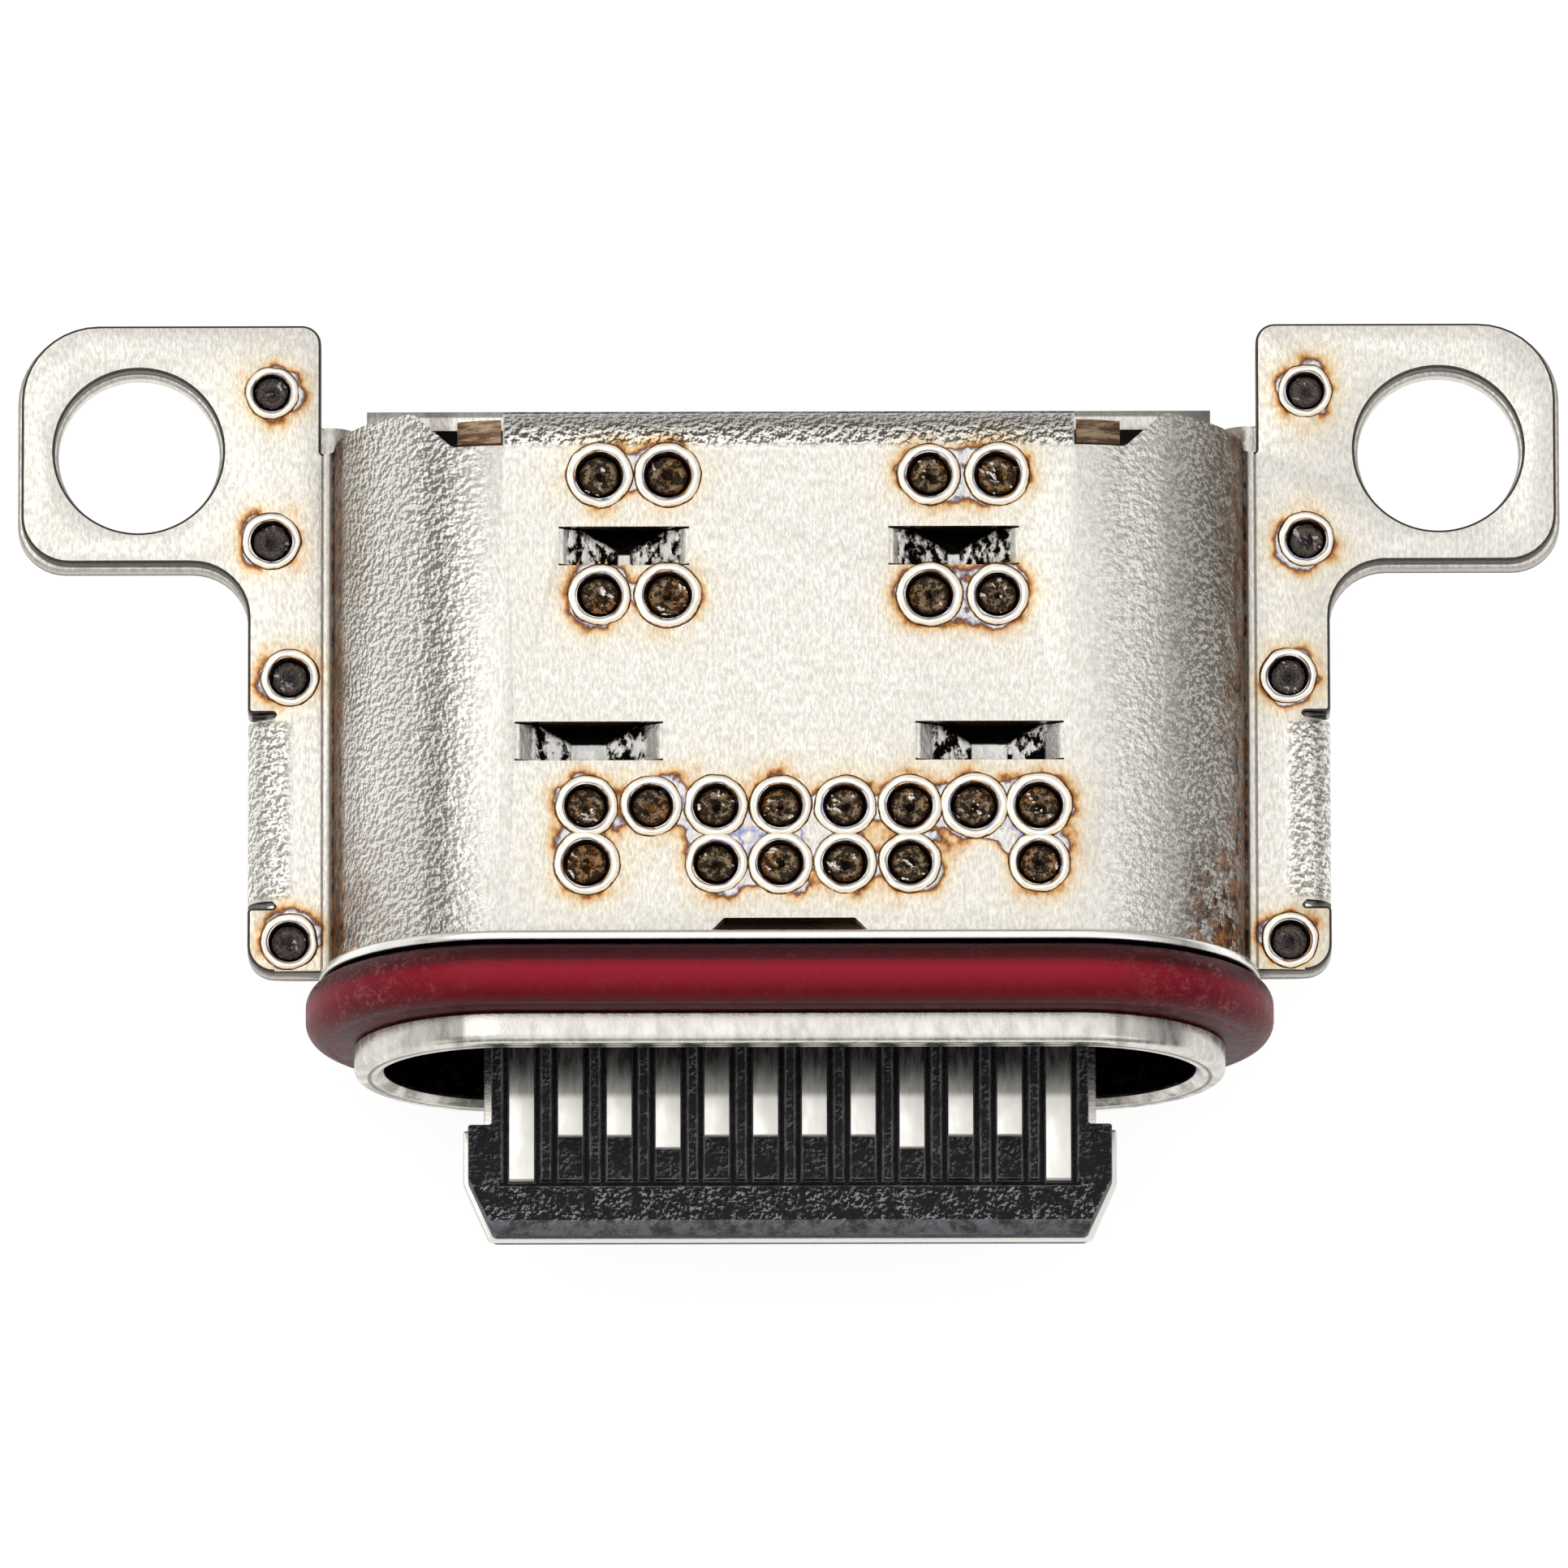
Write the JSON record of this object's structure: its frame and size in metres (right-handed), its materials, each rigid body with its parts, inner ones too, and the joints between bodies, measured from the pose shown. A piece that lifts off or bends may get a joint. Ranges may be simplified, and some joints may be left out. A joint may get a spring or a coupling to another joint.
{
  "type": "usb-c socket",
  "caption": "Socket with an oval steel mouth, a sealing ring, a contact tongue that reaches out of it, and two screw ears on a welded steel bracket.",
  "frame": {"origin": "middle of the mouth, in the plane of the shell's lip", "axes": "+X to the right of someone facing the mouth with the cover up, +Y back into the socket, +Z out of the cover"},
  "size_m": [0.016, 0.0097, 0.0042],
  "materials": {
    "shell_steel": "drawn stainless steel with a burnished lip",
    "bracket_steel": "matt stamped stainless steel with laser weld spots and heat tint",
    "plate_steel": "bright stamped stainless steel",
    "seal_rubber": "crimson silicone, slightly dusty",
    "black_plastic": "moulded black plastic with a fine speckle",
    "contact_metal": "pale plated contact strip"
  },
  "bodies": {
    "root": {"shell": "shell_steel", "sealing_ring": "seal_rubber", "upper_bracket": "bracket_steel", "lower_bracket": "bracket_steel", "housing": "black_plastic", "upper_wafer": "black_plastic", "lower_wafer": "black_plastic", "mid_plate": "plate_steel", "upper_emc_plate": "plate_steel", "lower_emc_plate": "plate_steel", "contact_a1": "contact_metal", "contact_a2": "contact_metal", "contact_a3": "contact_metal", "contact_a4": "contact_metal", "contact_a5": "contact_metal", "contact_a6": "contact_metal", "contact_a7": "contact_metal", "contact_a8": "contact_metal", "contact_a9": "contact_metal", "contact_a10": "contact_metal", "contact_a11": "contact_metal", "contact_a12": "contact_metal", "contact_b1": "contact_metal", "contact_b2": "contact_metal", "contact_b3": "contact_metal", "contact_b4": "contact_metal", "contact_b5": "contact_metal", "contact_b6": "contact_metal", "contact_b7": "contact_metal", "contact_b8": "contact_metal", "contact_b9": "contact_metal", "contact_b10": "contact_metal", "contact_b11": "contact_metal", "contact_b12": "contact_metal"}
  },
  "joints": []
}
